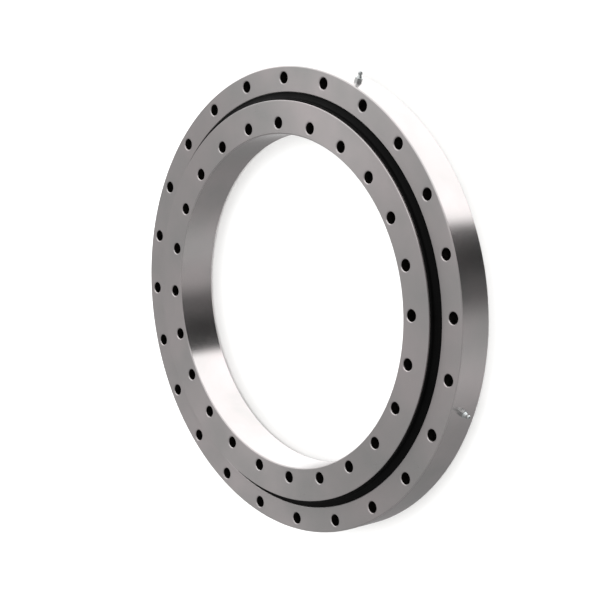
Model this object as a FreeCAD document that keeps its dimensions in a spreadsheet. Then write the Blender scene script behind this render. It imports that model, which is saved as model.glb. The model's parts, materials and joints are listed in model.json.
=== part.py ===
"""Slewing ring bearing: a single-row four-point-contact ball ring without teeth.

An outer and an inner forged ring, each with its own circle of bolt holes, turn on one row of balls
held apart by plastic spacers. The balls go in through a radial hole in the outer ring, which a plug
and a taper pin close. Lip seals cover the gap at both ends, and four grease nipples feed the raceway.

Frame: the ring lies flat, +Z is its axis and z = 0 is the outer ring's bottom mounting face.
The nipples sit on the X and Y axes, midway between two bolt holes. All lengths are in millimetres.
"""

import FreeCAD, Part
import Sketcher

import math
import os

from FreeCAD import Placement, Rotation, Vector

# ---------------------------------------------------------------- driving dimensions

SIZES = {
    # the two rings
    "outer_diameter": 732.0,
    "outer_height": 56.0,
    "bore_diameter": 524.0,
    "inner_height": 66.0,
    "inner_lift": 4.0,  # the inner ring's bottom face above the outer ring's
    "rim_chamfer": 1.5,
    "land_chamfer": 0.8,
    # bolt holes, alike in both rings
    "outer_bolt_circle": 696.0,
    "inner_bolt_circle": 558.0,
    "bolt_count": 24,
    "bolt_hole_diameter": 18.0,
    "bolt_hole_chamfer": 1.2,
    # the ball row
    "ball_circle": 630.0,
    "ball_plane_rise": 1.75,  # above the middle of the land between the two seals
    "ball_diameter": 25.0,
    "ball_spacing": 3.2,  # the least gap between two balls, taken up by a spacer
    "ball_clearance": 0.05,
    "raceway_excess": 0.5,  # the raceway's radius over the ball's
    "contact_angle": 45.0,
    "land_gap": 2.0,  # radial, between the two rings' walls
    "spacer_diameter": 20.0,
    "spacer_hole": 6.0,
    "spacer_clearance": 0.15,
    # top seal: a sheath round the proud wall of the inner ring, with a lip over the gap
    "seal_seat_width": 10.0,
    "seal_seat_depth": 8.5,
    "seal_clearance": 0.3,
    "seal_sheath": 2.2,
    "seal_root": 4.5,
    "seal_root_depth": 3.0,
    "seal_lip_thickness": 1.3,
    "seal_lip_drop": 0.1,
    "heel_rise": 5.5,  # the heel's middle above the outer ring's top face
    "heel_width": 3.0,
    "heel_depth": 2.5,
    "heel_clearance": 0.1,
    # bottom seal: held in a groove of the outer ring's bore
    "bottom_groove_height": 4.0,
    "bottom_groove_width": 5.0,
    "bottom_groove_depth": 5.0,
    "bottom_lip_thickness": 1.4,
    # the hole the balls go in through, its plug and the pin that locks it
    "plug_angle": 135.0,
    "plug_excess": 1.0,  # the plug hole's diameter over the ball's
    "plug_clearance": 0.05,
    "plug_recess": 0.6,
    "plug_thread": 10.0,
    "plug_thread_depth": 12.0,
    "pin_circle": 692.0,
    "pin_length": 45.0,
    "pin_tip_diameter": 8.0,
    "pin_taper": 50.0,  # length over which the diameter grows by 1
    "pin_recess": 1.0,
    "pin_thread": 4.0,
    "pin_thread_depth": 10.0,
    # grease nipples and their ducts
    "nipple_count": 4,
    "duct_diameter": 5.0,
    "nipple_thread": 10.0,
    "nipple_thread_clearance": 0.05,
    "nipple_hole_depth": 12.0,
    "nipple_shank": 8.0,
    "nipple_flats": 11.0,
    "nipple_hex_height": 5.5,
    "nipple_shoulder_diameter": 9.0,
    "nipple_neck_diameter": 5.2,
    "nipple_neck_end": 9.5,  # above the hexagon's foot
    "nipple_head_diameter": 6.6,
    "nipple_head_start": 10.6,
    "nipple_head_end": 13.2,
    "nipple_length": 15.0,
    "nipple_mouth": 2.2,
    "nipple_chamber": 4.0,
    "nipple_crimp": 1.0,
    "nipple_crimp_hole": 2.4,
    "nipple_seat_depth": 2.6,  # from the mouth to where the chamber is full width
    "check_ball_diameter": 3.2,
    "check_ball_clearance": 0.03,
    "spring_wire": 0.4,
    "spring_diameter": 3.2,  # over the wire
    "spring_turns": 12.5,
    "spring_clearance": 0.05,
}


class Size:
    """A dimension that knows its value and the spreadsheet expression it comes from."""

    def __init__(self, text, value):
        self.text = text
        self.value = float(value)

    def joined(self, sign, other, value):
        return Size(f"({self.text} {sign} {other.text})", value)

    def __add__(self, other):
        other = as_size(other)
        return self.joined("+", other, self.value + other.value)

    def __sub__(self, other):
        other = as_size(other)
        return self.joined("-", other, self.value - other.value)

    def __mul__(self, other):
        other = as_size(other)
        return self.joined("*", other, self.value * other.value)

    def __truediv__(self, other):
        other = as_size(other)
        return self.joined("/", other, self.value / other.value)

    def __neg__(self):
        return Size(f"(0 - {self.text})", -self.value)


def as_size(number):
    return number if isinstance(number, Size) else Size(str(number), number)


def root(square):
    return Size(f"sqrt{square.text}", math.sqrt(square.value))


def whole(number):
    return Size(f"floor{number.text}", math.floor(number.value))


def cosine(degrees):
    return Size(f"cos({degrees.text})", math.cos(math.radians(degrees.value)))


def sine(degrees):
    return Size(f"sin({degrees.text})", math.sin(math.radians(degrees.value)))


doc = FreeCAD.newDocument("slewing_ring_bearing")
sheet = doc.addObject("Spreadsheet::Sheet", "Sizes")
for row, (alias, number) in enumerate(SIZES.items(), start=1):
    sheet.set(f"A{row}", alias.replace("_", " "))
    sheet.set(f"B{row}", str(number))
    sheet.setAlias(f"B{row}", alias)
doc.recompute()


def size(alias):
    return Size(f"Sizes.{alias}", SIZES[alias])


# ---------------------------------------------------------------- derived places

outer_radius = size("outer_diameter") / 2
outer_top = size("outer_height")
bore_radius = size("bore_diameter") / 2
inner_bottom = size("inner_lift")
inner_top = size("inner_lift") + size("inner_height")
rim_chamfer = size("rim_chamfer")
land_chamfer = size("land_chamfer")
outer_land = (size("ball_circle") + size("land_gap")) / 2
inner_land = (size("ball_circle") - size("land_gap")) / 2
ball_circle_radius = size("ball_circle") / 2
ball_radius = size("ball_diameter") / 2
plug_diameter = size("ball_diameter") + size("plug_excess")
ball_pitch = size("ball_diameter") + size("ball_spacing")
ball_count = whole(as_size(math.pi) * size("ball_circle") / ball_pitch)

# Each half of a raceway is an arc a little wider than the ball. Its centre is set back from the
# ball's centre, so that ball and arc come closest at the contact angle.
raceway_radius = ball_radius + size("raceway_excess")
set_back = raceway_radius - ball_radius - size("ball_clearance")
set_back_radial = set_back * cosine(size("contact_angle"))
set_back_axial = set_back * sine(size("contact_angle"))
to_land = size("land_gap") / 2 + set_back_radial
raceway_half_width = root(raceway_radius * raceway_radius - to_land * to_land) - set_back_axial
raceway_depth = root(raceway_radius * raceway_radius - set_back_axial * set_back_axial) - set_back_radial

seal_seat_radius = outer_land + size("seal_seat_width")
seal_seat_floor = outer_top - size("seal_seat_depth")
heel_bottom = outer_top + size("heel_rise") - size("heel_width") / 2
heel_top = outer_top + size("heel_rise") + size("heel_width") / 2
bottom_groove_top = size("bottom_groove_height") + size("bottom_groove_width")
ball_plane = (seal_seat_floor + bottom_groove_top) / 2 + size("ball_plane_rise")
bottom_groove_radius = outer_land + size("bottom_groove_depth")


# ---------------------------------------------------------------- drawing helpers


def bind(thing, **lengths):
    """Ties each named property of a feature to its spreadsheet expression."""
    for name, length in lengths.items():
        thing.setExpression(name, as_size(length).text)


def new_body(label):
    body = doc.addObject("PartDesign::Body", label)
    body.Label = label
    return body


def origin_feature(body, role):
    return next(item for item in body.Origin.OriginFeatures if item.Role == role)


def attach(thing, body, role, turn=None, shift=(0, 0, 0)):
    """Puts a sketch or primitive on an origin plane, turned about the ring's axis and then shifted.

    On the XZ and YZ planes the second sketch axis is the ring's axis, so the turn is about it.
    """
    thing.AttachmentSupport = [(origin_feature(body, role), "")]
    thing.MapMode = "FlatFace"
    thing.AttachmentOffset = Placement(Vector(), Rotation(Vector(0, 1, 0), 0))
    if turn is not None:
        thing.setExpression("AttachmentOffset.Rotation.Angle", as_size(turn).text)
    for axis, length in zip("xyz", shift):
        thing.setExpression(f"AttachmentOffset.Base.{axis}", as_size(length).text)


def meridian_sketch(body, name, angle=as_size(0), radius=as_size(0), height=as_size(0)):
    """A sketch in the vertical half plane at an angle: x runs outwards, y runs up."""
    sketch = body.newObject("Sketcher::SketchObject", name)
    shift = (radius * cosine(angle), height, -(radius * sine(angle)))
    attach(sketch, body, "XZ_Plane", angle, shift)
    return sketch


def radial_sketch(body, name, angle, radius=as_size(0), height=as_size(0)):
    """A sketch that faces outwards along the radius at an angle: y runs up."""
    sketch = body.newObject("Sketcher::SketchObject", name)
    attach(sketch, body, "YZ_Plane", angle, (radius * sine(angle), height, radius * cosine(angle)))
    return sketch


def arc_between(start, end, radius, centre):
    """The shorter arc from start to end, and the numbers of the arc's own ends there."""
    anticlockwise = (start - centre).cross(end - centre).z > 0
    first, last = (start, end) if anticlockwise else (end, start)
    angles = [math.atan2(point.y - centre.y, point.x - centre.x) for point in (first, last)]
    circle = Part.Circle(centre, Vector(0, 0, 1), radius)
    arc = Part.ArcOfCircle(circle, angles[0], angles[1])
    return arc, (1, 2) if anticlockwise else (2, 1)


def draw_outline(sketch, corners):
    """Draws a closed outline and ties every corner and arc radius to the spreadsheet.

    A corner is (x, y), or (x, y, (radius, centre_x, centre_y)) where an arc runs on to the next one.
    """
    corners = [tuple(as_size(c) if not isinstance(c, tuple) else c for c in row) for row in corners]
    points = [Vector(row[0].value, row[1].value, 0) for row in corners]
    pieces = []
    for number, row in enumerate(corners):
        start, end = points[number], points[(number + 1) % len(points)]
        if len(row) == 3:
            radius, centre_x, centre_y = [as_size(value) for value in row[2]]
            centre = Vector(centre_x.value, centre_y.value, 0)
            shape, ends = arc_between(start, end, radius.value, centre)
            index = sketch.addGeometry(shape)
            held = sketch.addConstraint(Sketcher.Constraint("Radius", index, radius.value))
            sketch.setExpression(f"Constraints[{held}]", radius.text)
        else:
            index, ends = sketch.addGeometry(Part.LineSegment(start, end)), (1, 2)
        pieces.append((index, ends))
    for number, row in enumerate(corners):
        last_piece, last_ends = pieces[number - 1]
        piece, ends = pieces[number]
        sketch.addConstraint(
            Sketcher.Constraint("Coincident", last_piece, last_ends[1], piece, ends[0])
        )
        for kind, length in (("DistanceX", row[0]), ("DistanceY", row[1])):
            held = sketch.addConstraint(
                Sketcher.Constraint(kind, -1, 1, piece, ends[0], length.value)
            )
            sketch.setExpression(f"Constraints[{held}]", length.text)


def draw_circle(sketch, x, y, diameter):
    diameter = as_size(diameter)
    centre = Vector(as_size(x).value, as_size(y).value, 0)
    index = sketch.addGeometry(Part.Circle(centre, Vector(0, 0, 1), diameter.value / 2))
    rules = (
        (Sketcher.Constraint("Diameter", index, diameter.value), diameter),
        (Sketcher.Constraint("DistanceX", -1, 1, index, 3, centre.x), as_size(x)),
        (Sketcher.Constraint("DistanceY", -1, 1, index, 3, centre.y), as_size(y)),
    )
    for rule, length in rules:
        held = sketch.addConstraint(rule)
        sketch.setExpression(f"Constraints[{held}]", length.text)


def turned(body, kind, name, sketch, axis="V_Axis"):
    """A Revolution or Groove of a sketch, all the way round one of its axes."""
    feature = body.newObject(f"PartDesign::{kind}", name)
    feature.Profile = sketch
    feature.ReferenceAxis = (sketch, [axis])
    feature.Angle = 360
    sketch.Visibility = False
    return feature


def bored(body, name, sketch, length):
    """A Pocket that runs outwards from its sketch."""
    pocket = body.newObject("PartDesign::Pocket", name)
    pocket.Profile = sketch
    pocket.Reversed = True
    bind(pocket, Length=length)
    sketch.Visibility = False
    return pocket


def patterned(body, name, feature, count):
    """Repeats a feature evenly round the ring's axis and makes the pattern the body's tip."""
    pattern = body.newObject("PartDesign::PolarPattern", name)
    pattern.Originals = [feature]
    pattern.Axis = (origin_feature(body, "Z_Axis"), [""])
    pattern.Angle = 360
    bind(pattern, Occurrences=count)
    body.Tip = pattern
    return pattern


def bolt_holes(body, circle, bottom, top):
    """The circle of through holes, each chamfered at both ends."""
    radius = size("bolt_hole_diameter") / 2
    mouth = radius + size("bolt_hole_chamfer")
    chamfer = size("bolt_hole_chamfer")
    sketch = meridian_sketch(body, "bolt_hole_section", half_bolt_pitch, size(circle) / 2)
    outline = [
        (0, bottom),
        (mouth, bottom),
        (radius, bottom + chamfer),
        (radius, top - chamfer),
        (mouth, top),
        (0, top),
    ]
    draw_outline(sketch, outline)
    hole = turned(body, "Groove", "bolt_hole", sketch)
    return patterned(body, "bolt_holes", hole, size("bolt_count"))


def raceway_corners(side):
    """The three corners of the raceway in a wall, from the bottom up: side is 1 outside, -1 inside."""
    land = outer_land if side == 1 else inner_land
    centre_x = ball_circle_radius - set_back_radial * side
    deepest = ball_circle_radius + raceway_depth * side
    lower = (raceway_radius, centre_x, ball_plane + set_back_axial)
    upper = (raceway_radius, centre_x, ball_plane - set_back_axial)
    return [
        (land, ball_plane - raceway_half_width, lower),
        (deepest, ball_plane, upper),
        (land, ball_plane + raceway_half_width),
    ]


half_bolt_pitch = as_size(180) / size("bolt_count")

# ---------------------------------------------------------------- the two rings


def make_outer_ring():
    body = new_body("outer_ring")
    section = meridian_sketch(body, "ring_section")
    wall = [
        (outer_land + land_chamfer, 0),
        (outer_land, land_chamfer),
        (outer_land, size("bottom_groove_height")),
        (bottom_groove_radius, size("bottom_groove_height")),
        (bottom_groove_radius, bottom_groove_top),
        (outer_land, bottom_groove_top),
    ]
    seal_seat = [
        (outer_land, seal_seat_floor),
        (seal_seat_radius, seal_seat_floor),
        (seal_seat_radius, outer_top - land_chamfer),
        (seal_seat_radius + land_chamfer, outer_top),
    ]
    rim = [
        (outer_radius - rim_chamfer, outer_top),
        (outer_radius, outer_top - rim_chamfer),
        (outer_radius, rim_chamfer),
        (outer_radius - rim_chamfer, 0),
    ]
    draw_outline(section, wall + raceway_corners(1) + seal_seat + rim)
    turned(body, "Revolution", "ring", section)
    bolt_holes(body, "outer_bolt_circle", as_size(0), outer_top)

    # the hole the balls go in through, and the blind hole for the pin that crosses it
    load_hole = radial_sketch(body, "load_hole_outline", size("plug_angle"))
    draw_circle(load_hole, 0, ball_plane, plug_diameter)
    body.Tip = bored(body, "load_hole", load_hole, outer_radius + 1)
    pin_hole = pin_sketch(body, "pin_hole_section")
    draw_outline(pin_hole, pin_outline(as_size(0)))
    body.Tip = turned(body, "Groove", "pin_hole", pin_hole)

    # four grease ducts, opened out for the nipples' threads
    duct = radial_sketch(body, "duct_outline", as_size(0))
    draw_circle(duct, 0, ball_plane, size("duct_diameter"))
    patterned(
        body, "ducts", bored(body, "duct", duct, outer_radius + 1), size("nipple_count")
    )
    mouth = radial_sketch(
        body, "nipple_hole_outline", as_size(0), outer_radius - size("nipple_hole_depth")
    )
    draw_circle(mouth, 0, ball_plane, size("nipple_thread"))
    nipple_hole = bored(body, "nipple_hole", mouth, size("nipple_hole_depth") + 1)
    patterned(body, "nipple_holes", nipple_hole, size("nipple_count"))
    return body


def make_inner_ring():
    body = new_body("inner_ring")
    section = meridian_sketch(body, "ring_section")
    bore = [
        (bore_radius, inner_top - rim_chamfer),
        (bore_radius, inner_bottom + rim_chamfer),
        (bore_radius + rim_chamfer, inner_bottom),
        (inner_land - land_chamfer, inner_bottom),
        (inner_land, inner_bottom + land_chamfer),
    ]
    heel_groove = [
        (inner_land, heel_bottom),
        (inner_land - size("heel_depth"), heel_bottom),
        (inner_land - size("heel_depth"), heel_top),
        (inner_land, heel_top),
    ]
    proud_top = [
        (inner_land, inner_top - land_chamfer),
        (inner_land - land_chamfer, inner_top),
        (bore_radius + rim_chamfer, inner_top),
    ]
    draw_outline(section, bore + raceway_corners(-1) + heel_groove + proud_top)
    turned(body, "Revolution", "ring", section)
    bolt_holes(body, "inner_bolt_circle", inner_bottom, inner_top)
    return body


# ---------------------------------------------------------------- seals


def make_top_seal():
    """A rubber sheath on the inner ring's proud wall, its heel in the groove, its lip over the gap."""
    body = new_body("top_seal")
    section = meridian_sketch(body, "seal_section")
    lip_tip = seal_seat_radius - size("seal_clearance")
    lip_top = outer_top - size("seal_lip_drop")
    root_bottom = outer_top - size("seal_root_depth")
    sheath = inner_land + size("seal_sheath")
    heel_play = size("heel_clearance")
    top = inner_top - land_chamfer
    outline = [
        (inner_land, root_bottom),
        (inner_land + size("seal_root"), root_bottom),
        (lip_tip, lip_top - size("seal_lip_thickness")),
        (lip_tip, lip_top),
        (inner_land + size("seal_root"), lip_top + size("seal_lip_thickness") * 2),
        (sheath, heel_bottom),
        (sheath, top - size("seal_sheath") / 2),
        (sheath - size("seal_sheath") / 2, top),
        (inner_land, top),
        (inner_land, heel_top - heel_play),
        (inner_land - size("heel_depth") + heel_play, heel_top - heel_play),
        (inner_land - size("heel_depth") + heel_play, heel_bottom + heel_play),
        (inner_land, heel_bottom + heel_play),
    ]
    draw_outline(section, outline)
    turned(body, "Revolution", "seal", section)
    return body


def make_bottom_seal():
    """A rubber strip in the outer ring's lower groove, its lip turned to the inner ring's wall."""
    body = new_body("bottom_seal")
    section = meridian_sketch(body, "seal_section")
    play = size("heel_clearance")
    lip_tip = inner_land + size("seal_clearance")
    lip_middle = size("bottom_groove_height") + size("bottom_groove_width") / 2
    half_lip = size("bottom_lip_thickness") / 2
    outline = [
        (outer_land, size("bottom_groove_height") + play),
        (bottom_groove_radius - play, size("bottom_groove_height") + play),
        (bottom_groove_radius - play, bottom_groove_top - play),
        (outer_land, bottom_groove_top - play),
        (lip_tip, lip_middle + half_lip),
        (lip_tip, lip_middle - half_lip),
    ]
    draw_outline(section, outline)
    turned(body, "Revolution", "seal", section)
    return body


# ---------------------------------------------------------------- the ball row


def make_balls():
    body = new_body("balls")
    body.AllowCompound = True
    ball = body.newObject("PartDesign::AdditiveSphere", "ball")
    attach(ball, body, "XY_Plane", shift=(ball_circle_radius, 0, ball_plane))
    bind(ball, Radius=ball_radius)
    patterned(body, "ball_row", ball, ball_count)
    return body


def make_spacers():
    """A short plastic cylinder in each gap, with a spherical seat for the ball at either end."""
    body = new_body("spacers")
    body.AllowCompound = True
    half_pitch = as_size(180) / ball_count
    to_ball = ball_circle_radius * sine(half_pitch)
    seat = ball_radius + size("spacer_clearance")
    hole = size("spacer_hole") / 2
    rim = size("spacer_diameter") / 2
    at_hole = to_ball - root(seat * seat - hole * hole)
    at_rim = to_ball - root(seat * seat - rim * rim)

    # the sketch lies across the ring's axis, on the chord between two balls
    sketch = body.newObject("Sketcher::SketchObject", "spacer_section")
    middle = ball_circle_radius * cosine(half_pitch)
    attach(sketch, body, "XY_Plane", shift=(middle, 0, ball_plane))
    outline = [
        (hole, at_hole, (seat, as_size(0), to_ball)),
        (rim, at_rim),
        (rim, -at_rim, (seat, as_size(0), -to_ball)),
        (hole, -at_hole),
    ]
    draw_outline(sketch, outline)
    spacer = turned(body, "Revolution", "spacer", sketch)
    patterned(body, "spacer_row", spacer, ball_count)
    body.Placement = Placement(Vector(), Rotation(Vector(0, 0, 1), 0))
    body.setExpression("Placement.Rotation.Angle", half_pitch.text)
    return body


# ---------------------------------------------------------------- load plug and its pin


def pin_sketch(body, name):
    """The pin's own axis is the sketch's y axis."""
    return meridian_sketch(body, name, size("plug_angle"), size("pin_circle") / 2)


def pin_radius(height):
    """The tapered pin's radius at a height above the bottom face."""
    above_tip = size("pin_recess") + size("pin_length") - height
    return (size("pin_tip_diameter") + above_tip / size("pin_taper")) / 2


def pin_outline(bottom):
    """Half the pin's lengthwise section, from a height up to its tip."""
    top = size("pin_recess") + size("pin_length")
    return [(0, bottom), (pin_radius(bottom), bottom), (pin_radius(top), top), (0, top)]


def make_load_plug():
    """The plug carries the raceway on across the hole, is locked by the pin and has a thread to pull."""
    body = new_body("load_plug")
    angle = size("plug_angle")
    face = outer_radius - size("plug_recess")
    outline = radial_sketch(body, "plug_outline", angle, outer_land)
    draw_circle(outline, 0, ball_plane, plug_diameter - size("plug_clearance") * 2)
    plug = body.newObject("PartDesign::Pad", "plug")
    plug.Profile = outline
    bind(plug, Length=face - outer_land)

    raceway = meridian_sketch(body, "raceway_section")
    bottom, middle, top = raceway_corners(1)
    behind = outer_land - size("land_gap")
    draw_outline(raceway, [bottom, middle, top, (behind, top[1]), (behind, bottom[1])])
    turned(body, "Groove", "raceway", raceway)

    wall = meridian_sketch(body, "wall_section")
    draw_outline(wall, [(behind, 0), (outer_land, 0), (outer_land, outer_top), (behind, outer_top)])
    turned(body, "Groove", "wall", wall)

    pin_hole = pin_sketch(body, "pin_hole_section")
    draw_outline(pin_hole, pin_outline(as_size(0)))
    turned(body, "Groove", "pin_hole", pin_hole)
    pull = radial_sketch(body, "thread_outline", angle, face - size("plug_thread_depth"))
    draw_circle(pull, 0, ball_plane, size("plug_thread"))
    body.Tip = bored(body, "thread", pull, size("plug_thread_depth") + 1)
    return body


def make_load_plug_pin():
    body = new_body("load_plug_pin")
    section = pin_sketch(body, "pin_section")
    draw_outline(section, pin_outline(size("pin_recess")))
    turned(body, "Revolution", "pin", section)
    thread = pin_sketch(body, "thread_section")
    half = size("pin_thread") / 2
    start = size("pin_recess")
    end = start + size("pin_thread_depth")
    draw_outline(thread, [(0, start), (half, start), (half, end), (0, end + half)])
    turned(body, "Groove", "thread", thread)
    return body


# ---------------------------------------------------------------- grease nipples

# Heights along a nipple are counted outwards from the hexagon's foot, which rests on the rim.


def along(height):
    return outer_radius + height


seat_end = along(size("nipple_length") - size("nipple_seat_depth"))
mouth_radius = size("nipple_mouth") / 2
chamber_radius = size("nipple_chamber") / 2
check_ball_radius = size("check_ball_diameter") / 2

# The seat is a cone from the mouth to the chamber. The ball stands off it by the clearance,
# measured square to the cone.
mouth_end = seat_end + size("nipple_seat_depth") / 2
cone_rise = mouth_end - seat_end
cone_narrowing = chamber_radius - mouth_radius
cone_slant = root(cone_rise * cone_rise + cone_narrowing * cone_narrowing)
off_cone = check_ball_radius + size("check_ball_clearance")
check_ball_centre = mouth_end - (off_cone * cone_slant - mouth_radius * cone_rise) / cone_narrowing
spring_foot = along(-size("nipple_shank") + size("nipple_crimp"))


def make_nipple(number, angle):
    """A turned body with a hexagon, a ball head and a chamber for the check ball and spring."""
    body = new_body(f"grease_nipple_{number}")
    hexagon = body.newObject("PartDesign::AdditivePrism", "hexagon")
    shift = (outer_radius * sine(angle), ball_plane, outer_radius * cosine(angle))
    attach(hexagon, body, "YZ_Plane", angle, shift)
    hexagon.Polygon = 6
    bind(hexagon, Circumradius=size("nipple_flats") / cosine(as_size(30)) / 2)
    bind(hexagon, Height=size("nipple_hex_height"))

    section = meridian_sketch(body, "nipple_section", angle, height=ball_plane)
    shank = size("nipple_thread") / 2 - size("nipple_thread_clearance")
    shoulder = size("nipple_shoulder_diameter") / 2
    neck = size("nipple_neck_diameter") / 2
    head = size("nipple_head_diameter") / 2
    foot = along(-size("nipple_shank"))
    outline = [
        (foot, 0),
        (foot, shank - size("nipple_crimp")),
        (foot + size("nipple_crimp"), shank),
        (along(0), shank),
        (along(size("nipple_hex_height")), shank),
        (along(size("nipple_hex_height")), shoulder),
        (along(size("nipple_neck_end")), neck),
        (along(size("nipple_head_start")), head),
        (along(size("nipple_head_end")), head),
        (along(size("nipple_length")), neck),
        (along(size("nipple_length")), 0),
    ]
    draw_outline(section, outline)
    turned(body, "Revolution", "turned_body", section, "H_Axis")

    inside = meridian_sketch(body, "passage_section", angle, height=ball_plane)
    crimp_hole = size("nipple_crimp_hole") / 2
    passage = [
        (foot, 0),
        (foot, crimp_hole),
        (spring_foot, crimp_hole),
        (spring_foot, chamber_radius),
        (seat_end, chamber_radius),
        (mouth_end, mouth_radius),
        (along(size("nipple_length")), mouth_radius),
        (along(size("nipple_length")), 0),
    ]
    draw_outline(inside, passage)
    body.Tip = turned(body, "Groove", "passage", inside, "H_Axis")
    return body


def make_nipple_ball(number, angle):
    body = new_body(f"nipple_ball_{number}")
    ball = body.newObject("PartDesign::AdditiveSphere", "ball")
    shift = (check_ball_centre * sine(angle), ball_plane, check_ball_centre * cosine(angle))
    attach(ball, body, "YZ_Plane", angle, shift)
    bind(ball, Radius=check_ball_radius)
    return body


def make_nipple_spring(number, angle):
    """A coil of round wire from the crimp to the check ball."""
    body = new_body(f"nipple_spring_{number}")
    section = meridian_sketch(body, "wire_section", angle, height=ball_plane)
    wire = size("spring_wire")
    coil = (size("spring_diameter") - wire) / 2
    first = spring_foot + wire / 2 + size("spring_clearance")
    # the last turn meets the ball where the coil's circle lies on it
    reach = check_ball_radius + wire / 2 + size("spring_clearance")
    last = check_ball_centre - root(reach * reach - coil * coil)
    draw_circle(section, first, coil, wire)
    helix = body.newObject("PartDesign::AdditiveHelix", "coil")
    helix.Profile = section
    helix.ReferenceAxis = (section, ["H_Axis"])
    helix.Mode = "height-turns-angle"
    bind(helix, Height=last - first, Turns=size("spring_turns"))
    section.Visibility = False
    return body


# ---------------------------------------------------------------- build, check, write

subparts = [
    make_outer_ring(),
    make_inner_ring(),
    make_top_seal(),
    make_bottom_seal(),
    make_balls(),
    make_spacers(),
    make_load_plug(),
    make_load_plug_pin(),
]
for nipple in range(SIZES["nipple_count"]):
    nipple_angle = as_size(360) / size("nipple_count") * nipple
    for make in (make_nipple, make_nipple_ball, make_nipple_spring):
        subparts.append(make(nipple + 1, nipple_angle))

doc.recompute()

faulty = [
    item.Label
    for item in doc.Objects
    if {"Invalid", "Error"} & set(item.State)
]
for part in subparts:
    if part.Shape.isNull() or not part.Shape.isValid():
        faulty.append(part.Label)
if faulty:
    raise RuntimeError(f"these objects did not build: {faulty}")

os.makedirs("parts", exist_ok=True)
for part in subparts:
    part.Shape.exportStep(f"parts/{part.Label}.step")
    print(f"{part.Label}: {len(part.Shape.Solids)} solids, {part.Shape.Volume:.1f} mm3")
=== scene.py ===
# %% [markdown]
# # A slewing ring bearing
#
# A slewing ring carries a crane, a turntable or an excavator on one large flat bearing. Two forged
# steel rings lie one inside the other. A row of balls runs in a groove between them, rubber lips
# close the gap at the top and at the bottom, and bolts through both rings fasten it to the machine.
#
# The construction model holds every piece at its real size. This lesson loads it as a fixed frame
# and dresses it: it rebuilds the turned pieces with smooth round walls and broken edges, and gives
# each surface the finish that its machining leaves.

# %% Load the frame
import json
import math

import bpy
from mathutils import Matrix, Vector


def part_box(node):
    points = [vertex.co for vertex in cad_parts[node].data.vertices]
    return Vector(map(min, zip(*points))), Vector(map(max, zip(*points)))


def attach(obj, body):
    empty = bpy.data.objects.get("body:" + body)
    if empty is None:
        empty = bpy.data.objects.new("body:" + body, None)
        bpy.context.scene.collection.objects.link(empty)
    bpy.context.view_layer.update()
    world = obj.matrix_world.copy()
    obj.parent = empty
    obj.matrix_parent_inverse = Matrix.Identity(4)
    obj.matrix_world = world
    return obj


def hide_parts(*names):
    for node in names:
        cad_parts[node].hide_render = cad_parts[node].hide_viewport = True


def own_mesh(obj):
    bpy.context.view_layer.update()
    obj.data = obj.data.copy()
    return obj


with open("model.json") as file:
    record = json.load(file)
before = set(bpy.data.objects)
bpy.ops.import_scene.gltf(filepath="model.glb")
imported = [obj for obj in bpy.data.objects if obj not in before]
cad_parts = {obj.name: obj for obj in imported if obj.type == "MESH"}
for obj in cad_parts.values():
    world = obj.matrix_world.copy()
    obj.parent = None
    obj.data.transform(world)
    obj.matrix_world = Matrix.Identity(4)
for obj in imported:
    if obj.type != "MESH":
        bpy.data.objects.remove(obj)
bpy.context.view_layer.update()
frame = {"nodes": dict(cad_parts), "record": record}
MM = 0.001

# %% [markdown]
# ## Sizes from the frame
#
# What mates with something else must agree with the construction model to the hundredth of a
# millimetre, so those sizes are read from it: the bolt circles and the bore from its mounts, the
# heights and the ball row from its nodes. Only small shapes that belong to the looks, such as the
# rounding of an edge, are numbers of this script.

# %% Read the ring sizes
mounts = {mount["name"]: mount for mount in frame["record"]["mounts"]}


def circle_of(mount_name):
    """Radius of a bolt circle, radius of its holes and how many there are, lengths in metres."""
    dims = mounts[mount_name]["dims"]
    return dims["pcd_mm"] / 2 * MM, dims["hole_r_mm"] * MM, int(dims["count"])


def rounded_to(length, step=0.1 * MM):
    """The exact size behind one that was read from a mesh, whose facets cut the circle a little."""
    return round(length / step) * step


low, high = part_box("outer_ring")
rim_radius = rounded_to(high.x)
outer_bottom, outer_top = low.z, high.z
low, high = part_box("inner_ring")
inner_bottom, inner_top = low.z, high.z
bore_radius = mounts["bore"]["dims"]["r_mm"] * MM
low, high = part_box("balls")
ball_radius = (high.z - low.z) / 2
ball_height = (high.z + low.z) / 2
ball_circle_radius = rounded_to(high.x - ball_radius, 1 * MM)
outer_circle, bolt_hole_radius, bolt_count = circle_of("outer_bolts")
inner_circle = circle_of("inner_bolts")[0]
bolt_pitch = math.tau / bolt_count
ball_count, nipple_count = 70, 4
radii = {"rim": rim_radius, "bore": bore_radius, "ball circle": ball_circle_radius}
print("radii in mm:", {name: round(radius / MM, 2) for name, radius in radii.items()})

# %% [markdown]
# The two walls that face each other stand 2 mm apart with the ball circle midway. A half groove in
# each is a little wider than the ball. Its arcs are centred off the ball's own centre, which is why
# the ball touches each ring at two points, up and down at 45 degrees.

# %% Name the small sizes
outer_land = ball_circle_radius + 1 * MM
inner_land = ball_circle_radius - 1 * MM
groove_radius = 13 * MM
groove_set_back = 0.45 * MM * math.sqrt(0.5)
rim_chamfer = 1.5 * MM
land_chamfer = 0.8 * MM
hole_chamfer = 1.2 * MM
edge_round = 0.25 * MM
seal_seat_radius = outer_land + 10 * MM
seal_seat_floor = outer_top - 8.5 * MM
heel_bottom, heel_top, heel_depth = 60 * MM, 63 * MM, 2.5 * MM
bottom_groove = (4 * MM, 9 * MM, outer_land + 5 * MM)
face_band = 3 * MM  # of a flat face, left to the lathe beside each edge
plug_angle = math.radians(135)
print("gap between the walls in mm:", (outer_land - inner_land) / MM)

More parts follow.
